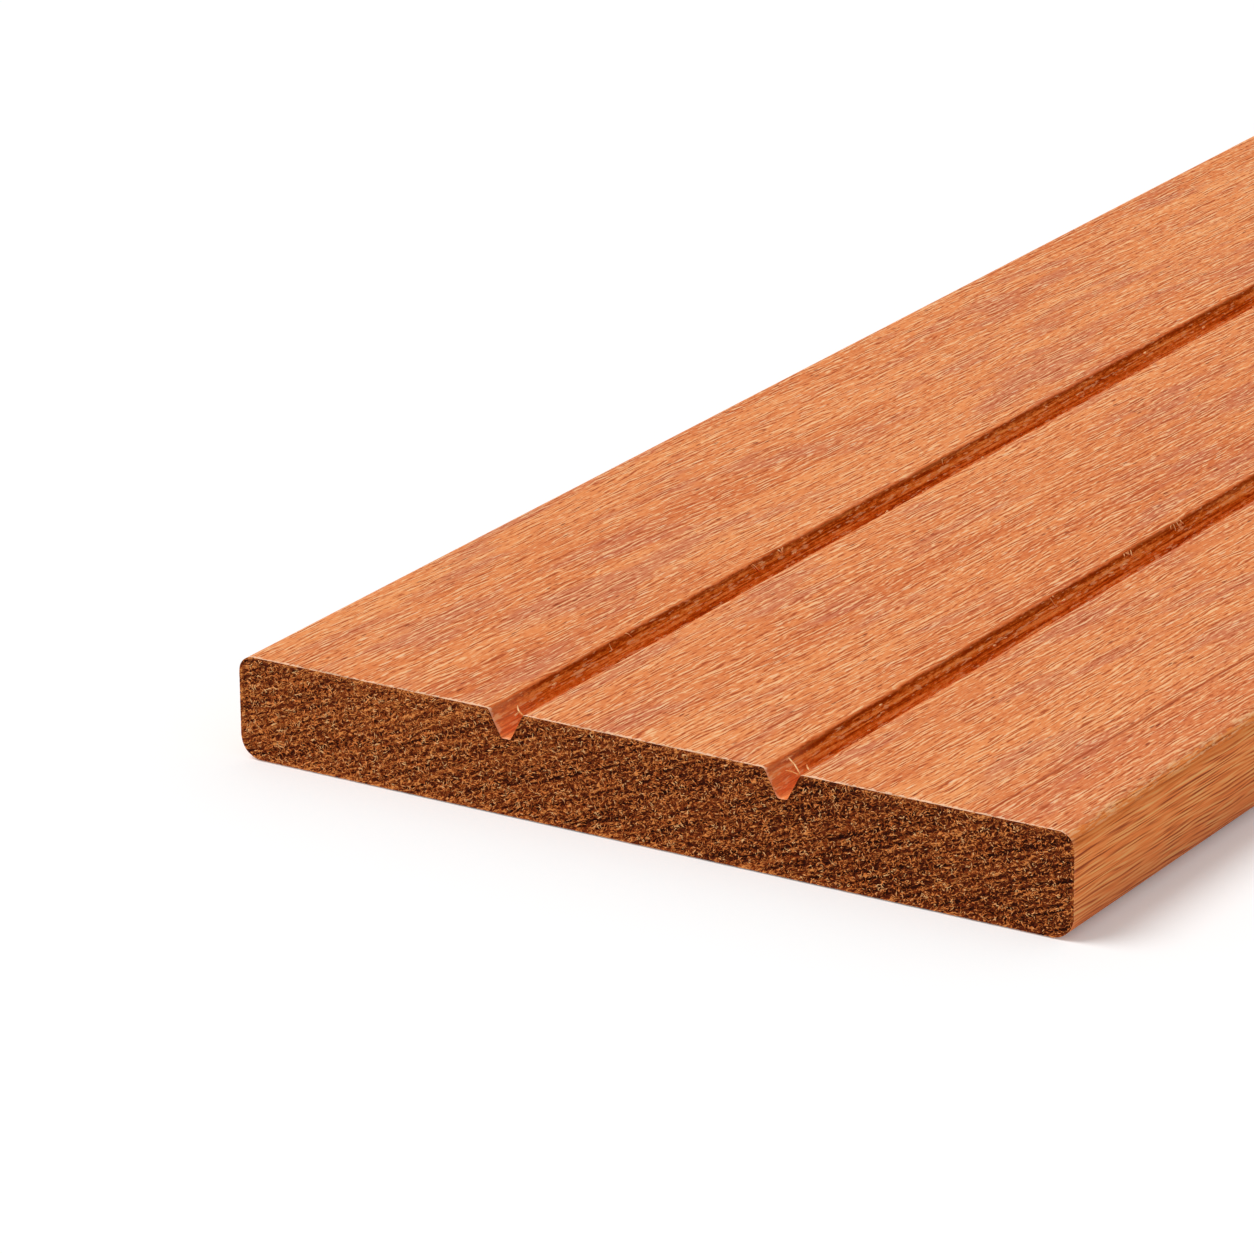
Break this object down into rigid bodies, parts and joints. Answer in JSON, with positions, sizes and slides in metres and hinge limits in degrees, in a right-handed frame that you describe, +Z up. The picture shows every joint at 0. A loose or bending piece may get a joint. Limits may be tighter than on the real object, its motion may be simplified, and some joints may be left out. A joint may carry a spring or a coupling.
{
  "type": "fence board",
  "caption": "Flat planed hardwood fence board with rounded arrises, square-cut ends and blunt V-grooves run lengthwise in its face, so it reads as narrow slats.",
  "frame": {"origin": "middle of the width and of the length, on the plain back face that the board lies on", "axes": "+X across the width, +Y along the length and the grain, +Z up, out of the grooved face"},
  "size_m": [0.14, 1.8, 0.016],
  "materials": {
    "hardwood": "planed, unfinished red-brown tropical hardwood with sawn end grain"
  },
  "bodies": {
    "root": {"fence_board": "hardwood"}
  },
  "joints": []
}
